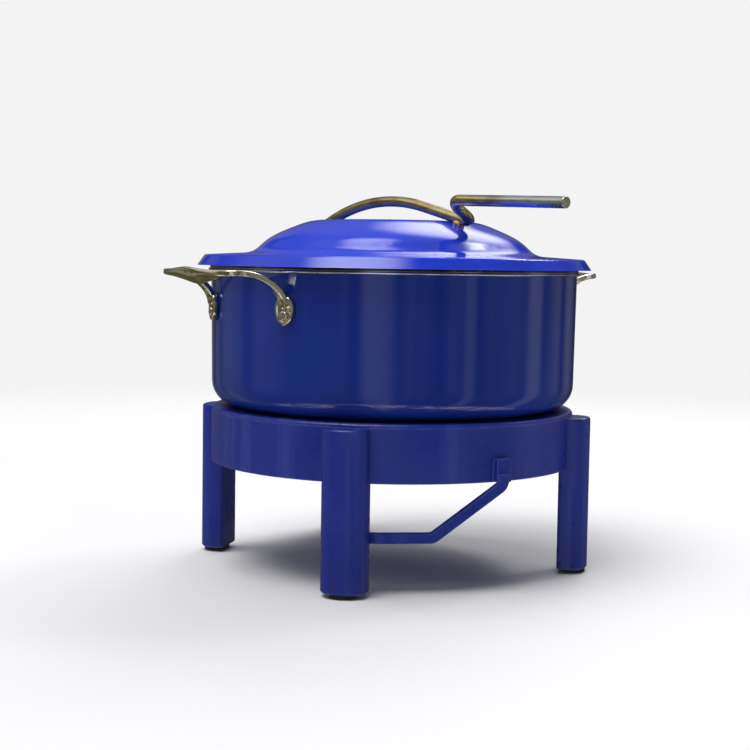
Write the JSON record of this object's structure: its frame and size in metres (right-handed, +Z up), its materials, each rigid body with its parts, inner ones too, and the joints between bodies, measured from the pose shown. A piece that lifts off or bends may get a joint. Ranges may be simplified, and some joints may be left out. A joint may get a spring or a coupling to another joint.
{
  "type": "lidded casserole on stand",
  "caption": "Round blue enamelled casserole with a domed lid, a bent-tube lid handle and riveted loop handles, resting on a low ring stand with round-fronted legs.",
  "frame": {"origin": "on the floor plane, under the common axis of the ring, the pot and the lid", "axes": "+Z up; the lid handle's grip points along -Y; the two pot handles lie along -X and +X"},
  "size_m": [0.4026, 0.3836, 0.302],
  "materials": {
    "pot_enamel": "deep blue gloss enamel over sheet steel",
    "lid_enamel": "bright blue gloss enamel over sheet steel",
    "stand_paint": "blue satin powder coat over steel",
    "rim_steel": "polished stainless trim",
    "polished_handle": "polished cast handle",
    "polished_tube": "mirror polished tube",
    "fastener_steel": "plain stainless fasteners",
    "foot_rubber": "black moulded rubber"
  },
  "bodies": {
    "stand": {"ring_band": "stand_paint", "ring_ledge": "stand_paint", "leg_front_left": "stand_paint", "leg_front_right": "stand_paint", "leg_rear_left": "stand_paint", "leg_rear_right": "stand_paint", "foot_front_left": "foot_rubber", "foot_front_right": "foot_rubber", "foot_rear_left": "foot_rubber", "foot_rear_right": "foot_rubber", "foot_screws": "fastener_steel", "leg_bolts": "fastener_steel", "leg_bolt_washers": "fastener_steel", "leg_brace": "stand_paint", "brace_screw": "fastener_steel"},
    "pot": {"pot_shell": "pot_enamel", "rim_trim": "rim_steel", "pot_handle_left": "polished_handle", "pot_handle_right": "polished_handle", "handle_rivets_left": "polished_handle", "handle_rivets_right": "polished_handle"},
    "lid": {"lid_shell": "lid_enamel", "lid_locator": "lid_enamel", "lid_handle": "polished_tube", "handle_end_plugs": "polished_tube", "handle_spacers": "polished_tube", "handle_screws": "fastener_steel", "handle_washers": "fastener_steel"}
  },
  "joints": [
    {"name": "pot_lift", "type": "slide", "parent": "stand", "child": "pot", "axis": [0, 0, 1], "range_m": [0, 0.12]},
    {"name": "lid_lift", "type": "slide", "parent": "pot", "child": "lid", "axis": [0, 0, 1], "range_m": [0, 0.12]}
  ]
}
